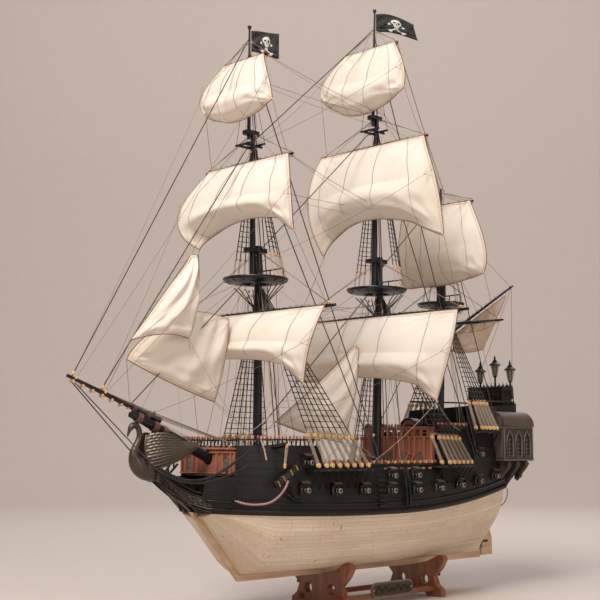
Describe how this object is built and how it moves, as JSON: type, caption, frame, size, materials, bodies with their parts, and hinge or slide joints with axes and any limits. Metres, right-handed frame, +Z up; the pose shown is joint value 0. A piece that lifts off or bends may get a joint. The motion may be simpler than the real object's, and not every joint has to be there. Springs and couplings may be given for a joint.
{
  "type": "model sailing ship",
  "caption": "Three-masted square-rigged model ship with set sails, black topsides and a pale bottom, resting in a two-board cradle stand.",
  "frame": {"origin": "on the table under the middle of the whole model", "axes": "+X towards the bow, +Y to port, +Z up"},
  "size_m": [0.6984, 0.29, 0.725],
  "materials": {
    "stained_stand": "satin reddish-brown stain",
    "cast_bronze": "antique bronze, dark in the hollows",
    "pale_plank": "matt natural timber",
    "black_paint": "satin black paint on timber",
    "red_mahogany": "satin reddish timber",
    "boxwood": "pale polished boxwood",
    "black_iron": "blackened metal",
    "dark_rope": "laid dark brown cord",
    "pink_rope": "laid dusty pink cord",
    "bell_brass": "polished brass",
    "sailcloth": "cream cotton cloth with stitched seams",
    "black_bunting": "black woven cloth"
  },
  "bodies": {
    "stand": {"stand_cradle_fore": "stained_stand", "stand_cradle_aft": "stained_stand", "stand_rails": "stained_stand", "nameplate": "cast_bronze"},
    "ship": {"keel": "pale_plank", "hull_bulkheads": "pale_plank", "lower_planking": "pale_plank", "topsides": "black_paint", "wales": "black_paint", "main_deck": "pale_plank", "forecastle_deck": "pale_plank", "after_decks": "pale_plank", "beakhead_bulkhead": "red_mahogany", "quarterdeck_bulkhead": "red_mahogany", "stern_board": "black_paint", "quarter_galleries": "black_paint", "stern_lanterns": "black_paint", "head_knee": "black_paint", "head_rails": "black_paint", "swan_figurehead": "cast_bronze", "gunport_frames": "black_paint", "cannons": "cast_bronze", "channels": "black_paint", "deadeyes": "boxwood", "side_steps": "black_paint", "cap_rails": "black_paint", "anchors": "black_iron", "anchor_cables": "pink_rope", "rudder_pendants": "dark_rope", "belfry": "red_mahogany", "gudgeons": "black_iron", "lower_masts": "black_paint", "topmasts": "black_paint", "topgallant_masts": "black_paint", "mast_tops": "black_paint", "mast_caps": "black_paint", "bowsprit": "black_paint", "jib_boom": "black_paint", "lower_yards": "black_paint", "topsail_yards": "black_paint", "topgallant_yards": "black_paint", "gaff": "black_paint", "shrouds": "dark_rope", "stays": "dark_rope", "fore_course": "sailcloth", "main_course": "sailcloth", "fore_topsail": "sailcloth", "main_topsail": "sailcloth", "mizzen_topsail": "sailcloth", "fore_topgallant_sail": "sailcloth", "main_topgallant_sail": "sailcloth", "outer_jib": "sailcloth", "fore_staysail": "sailcloth", "main_staysail": "sailcloth", "spanker": "sailcloth", "flags": "black_bunting", "hatch_gratings": "stained_stand"},
    "rudder": {"rudder": "pale_plank", "rudder_irons": "black_iron"},
    "bell": {"bell": "bell_brass"}
  },
  "joints": [
    {"name": "lift_off", "type": "slide", "parent": "stand", "child": "ship", "axis": [0, 0, 1], "range_m": [0, 0.06]},
    {"name": "rudder_hinge", "type": "hinge", "parent": "ship", "child": "rudder", "pos_m": [-0.2964, 0, 0.08], "axis": [0, 0, 1], "range_deg": [-35, 35]},
    {"name": "bell_swing", "type": "hinge", "parent": "ship", "child": "bell", "pos_m": [-0.16, 0, 0.203], "axis": [0, 1, 0], "range_deg": [-30, 30]}
  ]
}
